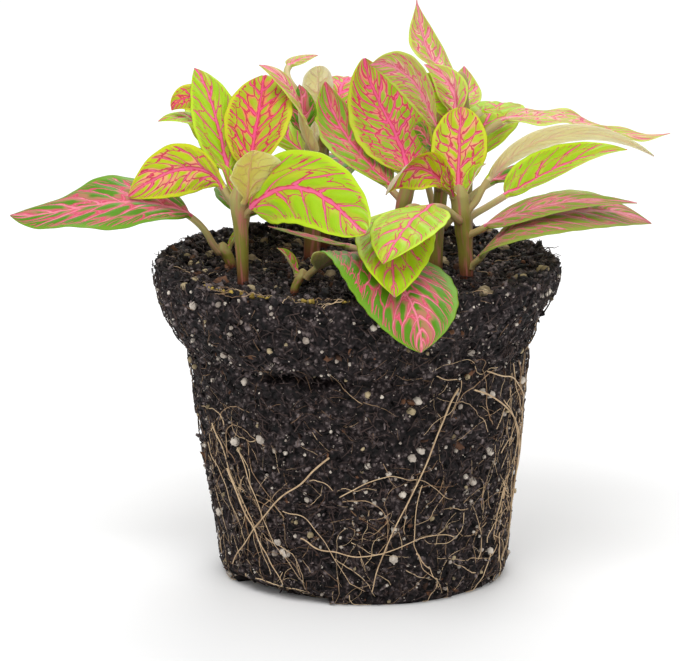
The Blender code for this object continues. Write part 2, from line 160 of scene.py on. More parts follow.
# the lower, shaded leaves have an olive lower skin
DARK = {"face": "green", "under": "olive"}
DULL = {"face": "deep", "under": "olive"}
LEAFY = {"face": "leafy", "under": "olive"}
LEAVES = (
    # low leaves that reach out over the rim
    Leaf("far_left_low", "far_left", 0.8, 12, 47, 22, (195, 155), (80, -5, 0), (-20, -25),
         wave=1.0, **DARK),
    Leaf("front_dark", "front", 0.9, 3, 56, 29, (-20, -95), (60, -25, -10), (-20, 15),
         **DARK, spacing=4.8),
    Leaf("right_dark", "right_front", 0.13, 3, 49, 21, (-35, 35), (62, 11, -29), (10, 25), **DULL),
    Leaf("right_pink", "right_front", 0.52, 4, 39, 12, (-25, -5), (37, 13, -7), (30, 2), **DULL),
    Leaf("rear_right", "right_back", 0.25, 16, 17, 9, (20, 0), (60, 25, 5), (5, 15), **DARK),
    # left crown
    Leaf("left_lime", "left_front", 0.9, 4, 30, 13, (135, 171), (70, -10, -39), (-123, -51),
         base=0.85, tip=0.85,
         face="amber"),
    Leaf("front_lime", "left_front", 0.8, 2, 50, 19, (-30, -75), (65, -10, 5), (75, 30),
         base=0.3, tip=0.7, spacing=8.0),
    Leaf("left_round", "left_front", 1.0, 6, 27, 18, (65, 85), (65, 55, 30), (-10, -10),
         tip=0.6, face="red"),
    Leaf("left_tall", "left_front", 0.9, 10, 33, 12, (105, 115), (30, 50, 15), (-15, -15)),
    Leaf("left_far_red", "left_back", 0.94, 14, 10, 8, (165, 185), (85, 40, -70), (-45, -45), face="red"),
    Leaf("left_far_pale", "left_back", 0.74, 13, 13, 9, (145, 195), (80, 35, -25), (0, -10)),
    Leaf("left_back_dark", "left_back", 0.45, 8, 12, 12, (160, 190), (60, 50, 10), (-25, -25), **DULL),
    # middle crown
    Leaf("pink_folded", "centre_back", 0.9, 7, 29, 10, (276, 161), (5, 68, 11), (-28, -27), face="blush"),
    Leaf("back_green", "centre_back", 1.0, 3, 12, 7, (150, 120), (80, 90, 60), (-40, -30), face="green"),
    Leaf("behind_dark", "centre_back", 0.5, 3, 13, 7, (240, 185), (10, 5, -5), (-45, -60), **DULL),
    Leaf("edge_on", "centre", 0.15, 10, 20, 9, (185, 180), (20, 15, 15), (5, 5), **DULL),
    Leaf("mid_lime", "centre", 0.8, 4, 36, 17, (135, 115), (45, 30, 70), (10, -5), face="leafy"),
    Leaf("central_big", "centre", 1.0, 2, 35, 20, (95, 145), (45, 40, 80), (-10, -25),
         tip=0.8, face="rose"),
    Leaf("front_mid", "mid_right", 0.95, 21, 38, 19, (-115, -85), (45, -15, -25), (5, -10)),
    Leaf("back_thin", "back", 1.0, 16, 10, 5, (165, 10), (45, 20, 5), (10, 10), face="blush"),
    Leaf("back_tan", "back", 0.95, 2, 10, 9, (-100, -55), (90, 100, 85), (10, 10), tip=0.4),
    # right crown
    Leaf("right_round", "right_front", 1.0, 1, 21, 14, (90, 80), (60, 60, 65), (0, 0),
         tip=0.6, face="amber"),
    Leaf("right_under", "right_front", 1.0, 2, 21, 11, (190, 225), (80, 5, -70), (-50, -140),
         cup=0.6, face="amber"),
    Leaf("front_small", "right_front", 0.7, 18, 33, 18, (245, 250), (40, -5, -25), (0, 0)),
    Leaf("right_cream", "right_front", 0.8, 9, 45, 14, (10, -5), (75, 15, -35), (-40, -25)),
    Leaf("right_lime", "right_front", 0.7, 15, 35, 15, (55, 5), (5, 20, 0), (10, 15), cup=0.3),
    Leaf("top_light", "right_back", 0.8, 7, 34, 11, (223, 234), (90, 45, 0), (-65, -95), face="blush"),
    Leaf("top_right_light", "right_back", 1.0, 2, 17, 8, (60, 195), (90, 50, 25), (-40, -50),
         face="blush"),
    Leaf("small_dark", "right_back", 0.55, 12, 11, 6, (245, 240), (70, 60, 5), (-60, -85), face="green"),
    Leaf("top_back", "tall_back", 1.0, 2, 23, 15, (135, 110), (15, 50, 75), (25, 15),
         tip=1.5, face="blush"),
    Leaf("top_back_green", "tall_back", 0.66, 5, 15, 9, (200, 170), (80, 65, -10), (-50, -55)),
    Leaf("top_back_pink", "tall_back", 0.8, 2, 15, 9, (85, 90), (20, 30, 65), (5, 10), face="blush"),
    Leaf("brown_back", "tall_back", 0.7, 6, 7, 6, (55, 20), (55, 15, -45), (5, 15)),
    Leaf("far_right_wavy", "tall_back", 0.6, 10, 44, 17, (15, 5), (60, -15, 15), (10, 0),
         wave=1.0, waves=3.0, face="blush"),
    # the side away from the viewer
    Leaf("rear_low_left", "left_back", 0.15, 8, 34, 20, (80, 90), (50, 5, -40), (0, 0), **DARK),
    Leaf("rear_low_middle", "back", 0.2, 8, 38, 22, (95, 90), (50, 5, -40), (0, 0), **DARK),
    Leaf("rear_low_right", "right_back", 0.3, 12, 36, 21, (105, 75), (45, 5, -35), (0, 0), **LEAFY),
    Leaf("rear_left", "back", 0.5, 6, 32, 19, (150, 140), (55, 25, -30), (0, 0)),
    Leaf("rear_middle", "back", 0.7, 4, 30, 18, (70, 80), (60, 25, -30), (0, 0), face="rose"),
    Leaf("rear_top_right", "tall_back", 0.4, 6, 32, 18, (70, 65), (60, 25, -30), (0, 0)),
    Leaf("rear_crown_left", "left_back", 0.6, 6, 34, 20, (100, 120), (60, 30, -20), (0, 0)),
    Leaf("rear_crown_right", "right_back", 0.66, 5, 32, 19, (125, 115), (60, 30, -20), (0, 0),
         face="rose"),
    # the newest growth
    Leaf("young_bud", "centre_back", 1.0, 1, 6, 3, (-95, -80), (85, 80, 75), (0, 0), cup=0.6),
)

# the unopened pairs at the ends of the stems, made in looks only
SPROUTS = (
    Leaf("left_tip_pale", "left_front", 0.9, 1.2, 14, 13, (-60, -60), (75, 78, 60), (-4, 4),
         cup=-0.45, wave=0.6, base=1.3, tip=0.5, face="fold", under="fold", sits_with="young_bud"),
    Leaf("left_tip_back", "left_front", 1.0, 0.6, 8, 4, (130, 140), (80, 60, 20), (0, 0),
         cup=0.5, face="lime", sits_with="front_lime"),
    Leaf("right_tip_left", "right_front", 1.0, 0.6, 8, 4.5, (235, 250), (80, 74, 60), (170, 178),
         cup=0.5, face="amber", sits_with="front_lime"),
    Leaf("right_tip_right", "right_front", 1.0, 0.6, 8, 4.5, (35, 20), (80, 60, 20), (0, 0),
         cup=0.6, face="lime", sits_with="front_lime"),
    Leaf("front_tip", "front", 1.0, 0.6, 7, 4, (160, 150), (75, 55, 20), (0, 0),
         cup=0.6, **LEAFY, sits_with="front_lime"),
    Leaf("far_left_tip", "far_left", 1.0, 0.6, 6, 3.5, (20, 0), (75, 60, 20), (0, 0),
         cup=0.6, **LEAFY, sits_with="front_lime"),
)

# ---- roots on the outside of the plug ----
# (angle round the plug, height) along each root, its radius, and its lift over another root
ROOTS = {
    "root_left_long": (((259, 38), (245, 30), (228, 19), (209, 6)), 0.6, 0.0),
    "root_left_down": (((218, 32), (224, 23), (231, 14), (238, 5)), 0.5, 1.5),
    "root_middle": (((304, 55), (297, 45), (290, 32), (278, 15), (273, 4)), 0.6, 0.0),
    "root_low_cross": (((248, 18), (257, 15), (269, 14), (291, 18), (304, 17)), 0.45, 1.6),
    "root_right": (((311, 54), (330, 46), (346, 33), (348, 14), (337, 6)), 0.55, 0.0),
}

# thinner roots with a route of their own, made in looks only: route and radius
SIDE_ROOTS = (
    (((262, 28), (277, 33), (290, 32), (304, 26)), 0.2),
    (((252, 33), (262, 30), (275, 31)), 0.16),
    (((290, 14), (295, 9), (301, 4)), 0.24),
    (((296, 58), (306, 56), (300, 49), (292, 45)), 0.18),
    (((292, 31), (288, 18), (295, 9), (302, 2)), 0.2),
    (((318, 57), (334, 53), (349, 44), (352, 26), (346, 8)), 0.26),
    (((326, 49), (340, 40), (344, 24), (350, 12)), 0.22),
    (((333, 57), (340, 46), (352, 38), (349, 20)), 0.2),
    (((208, 42), (216, 30), (226, 18), (231, 6)), 0.26),
    (((222, 38), (228, 26), (236, 14), (246, 5)), 0.2),
    (((200, 36), (212, 26), (219, 12)), 0.2),
    (((240, 24), (252, 21), (262, 9), (270, 4)), 0.18),
    (((80, 52), (95, 38), (88, 24), (104, 12)), 0.36),
    (((60, 46), (66, 30), (80, 16), (74, 5)), 0.3),
    (((140, 50), (128, 34), (133, 18), (120, 6)), 0.3),
    (((30, 40), (44, 28), (38, 12)), 0.26),
)
# zones of the side: from and to angle, from and to height
WHOLE_SIDE = (0, 360, 0.8, 78.0)
RIGHT_MAT = (318, 362, 4, 58)
LEFT_MAT = (186, 232, 3, 44)
FRONT_FOOT = (232, 318, 2, 34)
BACK_MATS = (20, 165, 3, 50)
BODY_SIDE = (0, 360, 2, 60)
# zones of the soil: from and to angle, from and to distance from the middle
WHOLE_SOIL = (0, 360, 0, 48.0)
FRONT_RIM = (218, 268, 43, 48.5)


# ---- materials ----
def linear(hex_colour):
    """An sRGB hex colour as the linear RGBA that a socket takes."""
    parts = [int(hex_colour[i:i + 2], 16) / 255 for i in (1, 3, 5)]
    values = [c / 12.92 if c <= 0.04045 else ((c + 0.055) / 1.055) ** 2.4 for c in parts]
    return (*values, 1.0)


def add(tree, kind, inputs=(), out=0, stops=(), **settings):
    """Adds one shader node with its settings, links and colour stops, and gives its output.

    A node that has an operation is asked for with it: "Math.ADD".
    """
    kind, _, operation = kind.partition(".")
    made = tree.nodes.new("ShaderNode" + kind)
    if operation:
        made.operation = operation
    for name, value in settings.items():
        setattr(made, name, value)
    for key, value in inputs.items() if isinstance(inputs, dict) else enumerate(inputs):
        if isinstance(value, bpy.types.NodeSocket):
            tree.links.new(value, made.inputs[key])
        else:
            made.inputs[key].default_value = value
    for k, (place, colour) in enumerate(stops):
        marks = made.color_ramp.elements
        mark = marks[k] if k < 2 else marks.new(place)
        mark.position = place
        mark.color = linear(colour)
    return made.outputs[out] if made.outputs else None


def new_material(name):
    """An empty node material, and the call that adds a node to it."""
    material = bpy.data.materials.new(name)
    material.use_nodes = True
    material.node_tree.nodes.clear()
    return material, partial(add, material.node_tree)


# asks for every output of a node
EVERY = slice(None)
# makes a Mix node mix colours
COLOURS = {"out": 2, "data_type": "RGBA"}
LEAF_IOR = 1.42
WET_IOR = 1.45

# A living blade is a waxy skin over soft green tissue: satin, and slightly see-through.
# Each row gives, in this order:
# lamina, shade: the two greens between the veins.  margin: the vein-free edge.
# run: the colour that runs out beside the veins.  rim, core: a vein's edge and middle.
# cover: how wide the veins are against the space between two side veins.
# net, rows: how wide the thin veins are, and how many rows of islands they make.
# running: how much of the run colour shows.
FACES = {
    "lime": ("#a6cc06", "#96c006", "#b8d81a", "#ccc43c", "#c83450", "#f26a96", 0.95, 0.85, 1, 0.45),
    "amber": ("#bccc10", "#aac40c", "#cad41c", "#f0a27c", "#cc3650", "#ee6a90", 1.05, 1.1, 2, 0.95),
    "red": ("#b4bc14", "#9eae10", "#cacc22", "#ec7c5c", "#c42840", "#ee4f80", 1.1, 1.3, 2, 0.85),
    "rose": ("#a4c014", "#8eb410", "#bccc20", "#f28880", "#d02c54", "#f25e92", 1.1, 1.0, 3, 0.95),
    "blush": ("#bccc4c", "#aac23a", "#c2d452", "#f6bcac", "#d85a72", "#f492a8", 1.05, 1.0, 3, 0.9),
    "leafy": ("#86b014", "#70a410", "#a0bc26", "#de8470", "#c83450", "#ec6c90", 1.1, 1.0, 2, 0.75),
    "green": ("#62980c", "#44800a", "#689c16", "#dc7478", "#d24e68", "#ee8a9c", 1.05, 3.0, 1, 0.6),
    "deep": ("#90a43c", "#769030", "#8ea43e", "#e08e86", "#cc6274", "#e0909c", 1.2, 1.3, 2, 0.85),
}
# The pale lower skin: two tones of the lamina, and the veins.
UNDERS = {
    "cream": ("#e8d8b4", "#d4ca8c", "#dfb49e"),
    "fold": ("#ccc070", "#beb45c", "#c89878"),
    "olive": ("#b6b67c", "#909454", "#bc9484"),
}
# how far the middle of an island wanders, and the shift that keeps islands between side veins
ISLAND_SCATTER = 0.55
ISLAND_SHIFT = ISLAND_SCATTER / 2 - 0.5
# widths of the veins as shares of the space between side veins, and their loss to the tip or edge
RIB_WIDTH = 0.1
RIB_TAPER = -0.055
SIDE_VEIN_WIDTH = 0.085
SIDE_VEIN_TAPER = -0.05
THIN_VEIN_WIDTH = 0.04
THIN_VEIN_TAPER = -0.025
SPUR_WIDTH = 0.11
WIDEST_NET = 1.3
THIN_STRENGTH = 0.6


def line_of_veins(node, distance, half_width, taper=0.0, along=None):
    """1 in the middle of a vein, 0.3 where its edge shows, 0 beyond; it may taper along a value."""
    if taper:
        half_width = node("Math.MULTIPLY_ADD", (along, taper, half_width))
    share = node("Math.DIVIDE", (distance, half_width))
    return node("Math.MULTIPLY_ADD", (share, -0.7, 1.0), use_clamp=True)


def vein_field(node, cover, net, rows):
    """0 on the lamina, 0.3 at the edge of a vein, 1 in the middle of a thick one.

    The blade's own coordinates are t along it and s across it; the net's are the number of side
    veins passed and the distance from the midrib, both counted in spaces between side veins.
    """
    along, sideways, _ = node("SeparateXYZ", (node("UVMap", uv_map="blade"),), out=EVERY)
    across = node("Math.SUBTRACT", (sideways, 0.5))
    across = node("Math.ABSOLUTE", (across,))
    across = node("Math.MULTIPLY", (across, 2.0))
    place = node("UVMap", uv_map="net")
    ragged, wobble = node("TexNoise", {"Vector": place, "Scale": 1.6, "Detail": 2.0}, out=EVERY,
                          noise_dimensions="2D")
    shift = node("VectorMath.SUBTRACT", (wobble, (0.5, 0.5, 0.5)))
    shift = node("VectorMath.SCALE", {0: shift, "Scale": 0.5})
    warped = node("VectorMath.ADD", (place, shift))
    passed, from_rib, _ = node("SeparateXYZ", (warped,), out=EVERY)
    straight = node("SeparateXYZ", (place,), out=1)
    # midrib
    off_middle = node("Math.MULTIPLY", (straight, 0.7))
    off_middle = node("Math.MULTIPLY_ADD", (from_rib, 0.3, off_middle))
    off_middle = node("Math.ABSOLUTE", (off_middle,))
    rib = line_of_veins(node, off_middle, RIB_WIDTH * cover, RIB_TAPER * cover, along)
    # side veins, one at each whole number, thinner towards the margin
    off_side = node("Math.PINGPONG", (passed, 0.5))
    side = line_of_veins(node, off_side, SIDE_VEIN_WIDTH * cover, SIDE_VEIN_TAPER * cover, across)
    # between them rows of round islands: small by the midrib, close together by the margin
    cells_at = node("Mapping", {0: warped, 1: (ISLAND_SHIFT, 0.0, 0.0),
                                3: (rows, 0.9 + 0.45 * rows, 1.0)})
    cells = {"Vector": cells_at, "Scale": 1.0, "Randomness": ISLAND_SCATTER}
    to_edge = node("TexVoronoi", cells, feature="DISTANCE_TO_EDGE", voronoi_dimensions="2D")
    to_middle = node("TexVoronoi", cells, feature="F1", voronoi_dimensions="2D")
    thin = line_of_veins(node, to_edge, THIN_VEIN_WIDTH * rows * net, THIN_VEIN_TAPER * net, across)
    thin = node("Math.MULTIPLY", (thin, THIN_STRENGTH))
    # short spurs that comb into the margin
    off_spur = node("Math.MULTIPLY", (passed, rows + 2.0))
    off_spur = node("Math.PINGPONG", (off_spur, 0.5))
    near_margin = node("MapRange", (across, 0.66, 0.74))
    spur = line_of_veins(node, off_spur, SPUR_WIDTH * min(net, WIDEST_NET))
    spur = node("Math.MULTIPLY", (spur, near_margin))
    spur = node("Math.MULTIPLY", (spur, THIN_STRENGTH))
    thick = node("Math.MAXIMUM", (rib, side))
    veins = node("Math.MAXIMUM", (thin, spur))
    veins = node("Math.MAXIMUM", (thick, veins))
    # no vein reaches the margin, which is a clean band of its own
    ragged = node("Math.MULTIPLY_ADD", (ragged, 0.12, node("Math.SUBTRACT", (across, 0.06))))
    inside = node("MapRange", (ragged, 0.82, 0.92, 1.0, 0.0), interpolation_type="SMOOTHSTEP")
    veins = node("Math.MULTIPLY", (veins, inside))
    # the colour of the veins runs into the lamina between the islands
    island = node("Math.MULTIPLY_ADD", (across, 0.4, 0.3))
    run = node("Math.SUBTRACT", (to_middle, island))
    run = node("MapRange", (run, -0.14, 0.1), interpolation_type="SMOOTHSTEP")
    beside = node("MapRange", (thick, 0.0, 0.3))
    run = node("Math.MAXIMUM", (run, beside))
    run = node("Math.MULTIPLY", (run, inside))
    return veins, run, across, warped


def blade_face(name, lamina, shade, margin, run, rim, core, cover, net, rows, running):
    """The upper skin of a leaf: glossy lamina puffed up between coloured, sunken veins."""
    material, node = new_material(name)
    veins, spread, across, place = vein_field(node, cover, net, rows)
    patch = node("TexNoise", {"Vector": place, "Scale": 0.8, "Detail": 3.0})
    ground = node("Mix", {0: patch, 6: linear(lamina), 7: linear(shade)}, **COLOURS)
    edge = node("MapRange", (across, 0.78, 0.9, 0.0, 1.0))
    ground = node("Mix", {0: edge, 6: ground, 7: linear(margin)}, **COLOURS)
    spread = node("Math.MULTIPLY", (spread, running))
    ground = node("Mix", {0: spread, 6: ground, 7: linear(run)}, **COLOURS)
    thick = node("Math.MULTIPLY_ADD", (across, -0.15, veins))
    vein_core = node("MapRange", (thick, 0.42, 0.66))
    vein_colour = node("Mix", {0: vein_core, 6: linear(rim), 7: linear(core)}, **COLOURS)
    on_vein = node("MapRange", (veins, 0.22, 0.36))
    colour = node("Mix", {0: on_vein, 6: ground, 7: vein_colour}, **COLOURS)
    # skin cells of about 0.25 mm, 24 to the space between two side veins
    grain = node("TexNoise", {"Vector": place, "Scale": 24.0, "Detail": 2.0})
    height = node("Math.MULTIPLY", (grain, 0.25))
    height = node("Math.MULTIPLY_ADD", (veins, -1.0, height))
    bump = node("Bump", {"Height": height, "Strength": 0.6, "Distance": 0.25 * MM})
    shine = node("Math.MULTIPLY_ADD", (grain, 0.2, 0.36))
    skin = node("BsdfPrincipled", {
        "Base Color": colour, "Roughness": shine, "IOR": LEAF_IOR, "Normal": bump,
        "Specular IOR Level": 0.35, "Subsurface Weight": 0.12, "Subsurface Scale": 0.6 * MM})
    node("OutputMaterial", (skin,))
    return material


def blade_under(name, lamina, shade, vein):
    """The lower skin: pale and duller, with the veins standing out as ridges."""
    material, node = new_material(name)
    veins, _, _, place = vein_field(node, 1.0, 0.9, 2)
    patch = node("TexNoise", {"Vector": place, "Scale": 0.7, "Detail": 3.0})
    ground = node("Mix", {0: patch, 6: linear(lamina), 7: linear(shade)}, **COLOURS)
    on_vein = node("MapRange", (veins, 0.15, 0.9))
    colour = node("Mix", {0: on_vein, 6: ground, 7: linear(vein)}, **COLOURS)
    bump = node("Bump", {"Height": veins, "Strength": 0.7, "Distance": 0.3 * MM})
    skin = node("BsdfPrincipled", {
        "Base Color": colour, "Roughness": 0.55, "IOR": LEAF_IOR, "Normal": bump,
        "Specular IOR Level": 0.3, "Subsurface Weight": 0.7, "Subsurface Scale": 1.5 * MM,
        "Subsurface Radius": (1.0, 0.9, 0.5)})
    node("OutputMaterial", (skin,))
    return material


def stem_skin(name, foot, middle, top, streak):
    """Soft green stem: reddish at the soil, olive above, with long pink streaks and fine down."""
    material, node = new_material(name)
    around, rise, _ = node("SeparateXYZ", (node("UVMap", uv_map="skin"),), out=EVERY)
    around = node("Math.MULTIPLY", (around, 9.0))
    along = node("Math.MULTIPLY", (rise, 1.6))
    place = node("CombineXYZ", (around, along))
    stripes = node("TexNoise", {"Vector": place, "Scale": 1.3, "Detail": 4.0})
    ground = node("ValToRGB", (rise,), stops=((0.0, foot), (0.3, middle), (0.7, middle), (1.0, top)))
    mask = node("MapRange", (stripes, 0.5, 0.68))
    colour = node("Mix", {0: mask, 6: ground, 7: linear(streak)}, **COLOURS)
    # down is hair of some 0.05 mm, drawn ten times as coarse so that it shows
    down = node("TexNoise", {"Vector": node("TexCoord", out="Object"), "Scale": 1.8 / MM})
    bump = node("Bump", {"Height": down, "Strength": 0.5, "Distance": 0.1 * MM})
    skin = node("BsdfPrincipled", {
        "Base Color": colour, "Roughness": 0.5, "IOR": LEAF_IOR, "Normal": bump,
        "Specular IOR Level": 0.35, "Subsurface Weight": 0.15, "Subsurface Scale": 0.8 * MM})
    node("OutputMaterial", (skin,))
    return material


def peat(name, dark, mid, light):
    """Moist peat: near-black fibrous crumbs, brown threads, a wet glint; painted light on crumbs, painted
    shade in gaps.
    """
    material, node = new_material(name)
    place = node("TexCoord", out="Object")
    # crumbs of about 1.1 mm in clods of about 2.6 mm
    crumbs = node("TexVoronoi", {"Vector": place, "Scale": 0.9 / MM}, feature="F1")
    cloud = node("TexNoise", {"Vector": place, "Scale": 0.38 / MM, "Detail": 6.0, "Roughness": 0.7})
    tone = node("Attribute", out="Fac", attribute_name="tone")
    value = node("Math.MULTIPLY", (cloud, 0.9))
    value = node("Math.MULTIPLY_ADD", (tone, 0.6, value))
    # the crumbs' distance darkens the colour towards the gaps and lightens it at their middles: painted
    # shade in the gaps between crumbs and painted light on their tops
    value = node("Math.MULTIPLY_ADD", (crumbs, -0.45, value))
    colour = node("ValToRGB", (value,), stops=((0.36, dark), (0.62, mid), (0.98, light)))
    height = node("Math.MULTIPLY_ADD", (crumbs, -0.6, cloud))
    bump = node("Bump", {"Height": height, "Strength": 0.9, "Distance": 0.5 * MM})
    shine = node("Math.MULTIPLY_ADD", (cloud, 0.5, 0.4))
    skin = node("BsdfPrincipled", {
        "Base Color": colour, "Roughness": shine, "IOR": WET_IOR, "Normal": bump,
        "Specular IOR Level": 0.3})
    node("OutputMaterial", (skin,))
    return material


def granular(name, low, high, roughness, pits, depth):
    """A dry, porous solid such as perlite, bark or root: two tones and a fine pitted surface.

    Pits is how many pits there are to a millimetre, and depth is how deep they are in millimetres.
    """
    material, node = new_material(name)
    cloud = node("TexNoise", {"Vector": node("TexCoord", out="Object"), "Scale": pits / MM,
                              "Detail": 5.0})
    tone = node("Attribute", out="Fac", attribute_name="tone")
    value = node("Math.MULTIPLY", (cloud, 0.6))
    value = node("Math.MULTIPLY_ADD", (tone, 0.5, value))
    colour = node("ValToRGB", (value,), stops=((0.25, low), (0.75, high)))
    bump = node("Bump", {"Height": cloud, "Strength": 0.8, "Distance": depth * MM})
    skin = node("BsdfPrincipled", {
        "Base Color": colour, "Roughness": roughness, "Normal": bump, "Specular IOR Level": 0.3})
    node("OutputMaterial", (skin,))
    return material


# ---- meshes ----
def mesh_object(name, points, faces, materials, face_slots=None, uvs=None, tones=None):
    """One object from points in millimetres; uvs holds per-point pairs for each named map."""
    data = bpy.data.meshes.new(name)
    data.from_pydata((np.asarray(points) * MM).tolist(), [], [list(f) for f in faces])
    for material in materials:
        data.materials.append(material)
    if face_slots is not None:
        data.polygons.foreach_set("material_index", np.asarray(face_slots, dtype=np.int32))
    corners = np.empty(len(data.loops), dtype=np.int32)
    data.loops.foreach_get("vertex_index", corners)
    for layer_name, pairs in (uvs or {}).items():
        layer = data.uv_layers.new(name=layer_name)
        layer.data.foreach_set("uv", np.asarray(pairs, dtype=np.float32)[corners].ravel())
    if tones is not None:
        attribute = data.attributes.new("tone", "FLOAT", "POINT")
        attribute.data.foreach_set("value", np.asarray(tones, dtype=np.float32))
    data.polygons.foreach_set("use_smooth", np.ones(len(data.polygons), dtype=bool))
    data.validate()
    data.update()
    made = bpy.data.objects.new(name, data)
    bpy.context.scene.collection.objects.link(made)
    return made


def seat(piece, slot, *nodes):
    """Rides the piece on the plant's one body and hides the solids it stands for; its slot is not used."""
    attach(piece, "root")
    if nodes:
        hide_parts(*nodes)


def grid_faces(rows, columns):
    """Quads of a grid of points counted row by row, closed round from its last column."""
    faces = []
    for start in range(0, (rows - 1) * columns, columns):
        for c in range(columns):
            a = start + c
            b = start + (c + 1) % columns
            faces.append((a, b, b + columns, a + columns))
    return faces


class Bundle:
    """Many small closed shapes gathered into one piece, each with a tone of its own."""

    def __init__(self):
        self.points = []
        self.faces = []
        self.tones = []

    def take(self, points, faces, tone):
        offset = len(self.points)
        self.points += [tuple(p) for p in points]
        self.faces += [tuple(int(v) + offset for v in face) for face in faces]
        self.tones += [tone] * len(points)

    def make(self, name, material, slot, *nodes):
        made = mesh_object(name, self.points, self.faces, [material], tones=self.tones)
        seat(made, slot, *nodes)


# ---- leaves ----
def stem_point(stem, share):
    foot, lean, height, _, _ = STEMS[stem]
    bend = share ** 1.5
    return np.array([foot[0] + lean[0] * bend, foot[1] + lean[1] * bend,
                     SOIL_TOP + GAP + height * share])


def stem_radius(stem, share):
    _, _, _, foot_radius, tip_radius = STEMS[stem]
    return foot_radius + (tip_radius - foot_radius) * share


def direction(heading, pitch):
    """Unit vectors for arrays of headings and pitches in radians."""
    level = np.cos(pitch)
    return np.stack([np.cos(heading) * level, np.sin(heading) * level, np.sin(pitch)], -1)


def leaf_angles(leaf, share):
    """Heading, pitch and roll in radians at shares of the whole centre line."""
    start, middle, end = leaf.pitch
    pitch = (start * (1 - share) * (1 - 2 * share) + middle * 4 * share * (1 - share)
             + end * share * (2 * share - 1))
    heading = leaf.heading[0] + (leaf.heading[1] - leaf.heading[0]) * share
    roll = leaf.roll[0] + (leaf.roll[1] - leaf.roll[0]) * share
    return np.radians(heading), np.radians(pitch), np.radians(roll)


def leaf_frame(leaf, share):
    """Centre, sideways and upward directions of the leaf at shares of its centre line."""
    heading = math.radians(leaf.heading[0])
    steepness = max(0.3, math.sin(math.radians(leaf.pitch[0])))
    reach = stem_radius(leaf.stem, leaf.at) + GAP + 0.05 + PETIOLE_RADIUS * steepness
    base = stem_point(leaf.stem, leaf.at)
    base = base + reach * np.array([math.cos(heading), math.sin(heading), 0.0])
    halves = (np.arange(CENTRE_STEPS) + 0.5) / CENTRE_STEPS
    headings, pitches, _ = leaf_angles(leaf, halves)
    steps = direction(headings, pitches) * (leaf.petiole + leaf.length) / CENTRE_STEPS
    line = np.vstack([base, base + np.cumsum(steps, 0)])
    marks = np.linspace(0.0, 1.0, CENTRE_STEPS + 1)
    centre = np.stack([np.interp(share, marks, line[:, k]) for k in range(3)], -1)
    headings, pitches, rolls = leaf_angles(leaf, share)
    level = np.stack([-np.sin(headings), np.cos(headings), 0.0 * headings], -1)
    upper = np.cross(direction(headings, pitches), level)
    cos_roll = np.cos(rolls)[:, None]
    sin_roll = np.sin(rolls)[:, None]
    return centre, level * cos_roll + upper * sin_roll, upper * cos_roll - level * sin_roll


def blade_outline(leaf, t):
    widest = leaf.base / (leaf.base + leaf.tip)
    peak = widest ** leaf.base * (1 - widest) ** leaf.tip
    return t ** leaf.base * (1 - t) ** leaf.tip / peak


def vein_phase(pairs, t, s, wander):
    """How many side veins lie between the blade's base and a point: they arch to the tip."""
    arch = VEIN_ARCH * np.abs(s) ** 1.15 * (1.0 - 0.3 * t)
    stagger = np.where(s > 0, VEIN_STAGGER * np.minimum(1.0, np.abs(s) / 0.06), 0.0)
    return pairs * (t - arch) + stagger + wander


def rooted_centre(leaf, centre, share):
    """The centre line with its first millimetres drawn into the stem, so that no gap shows."""
    heading = math.radians(leaf.heading[0])
    inward = -stem_radius(leaf.stem, leaf.at) * np.array([math.cos(heading), math.sin(heading), 0.3])
    from_base = (share - share[0]) * (leaf.petiole + leaf.length) / ROOTING_LENGTH
    return centre + np.exp(-from_base ** 2)[:, None] * inward


def slow_sway(chance, t, s):
    """Slow bends that no two leaves share."""
    sway = 0.0
    for k in range(3):
        bend = chance.uniform(-1, 1) / (k + 1.5)
        turn = chance.uniform(0, 6)
        sway = sway + bend * np.sin((k + 1) * 2.4 * t + 1.7 * s + turn)
    return sway


def two_sheets(rows, columns):
    """Faces and material slots of an upper and a lower sheet that meet at all their edges.

    The lower sheet keeps only its inner columns: the edge points are shared. Slots: 0 upper skin,
    1 lower skin, 2 petiole.
    """
    inner = columns - 2
    above = np.arange(rows * columns).reshape(rows, columns)
    below = above.copy()
    below[:, 1:-1] = rows * columns + np.arange(rows * inner).reshape(rows, inner)
    start_point = rows * (columns + inner)
    end_point = start_point + 1
    faces = []
    slots = []
    for r in range(rows - 1):
        stalk = r < PETIOLE_ROWS - 1
        for c in range(columns - 1):
            faces.append((above[r, c], above[r + 1, c], above[r + 1, c + 1], above[r, c + 1]))
            faces.append((below[r, c], below[r, c + 1], below[r + 1, c + 1], below[r + 1, c]))
            slots += [2, 2] if stalk else [0, 1]
    for c in range(columns - 1):
        faces.append((start_point, above[0, c], above[0, c + 1]))
        faces.append((start_point, below[0, c + 1], below[0, c]))
        faces.append((end_point, above[-1, c + 1], above[-1, c]))
        faces.append((end_point, below[-1, c], below[-1, c + 1]))
        slots += [2, 2, 0, 1]
    return faces, slots


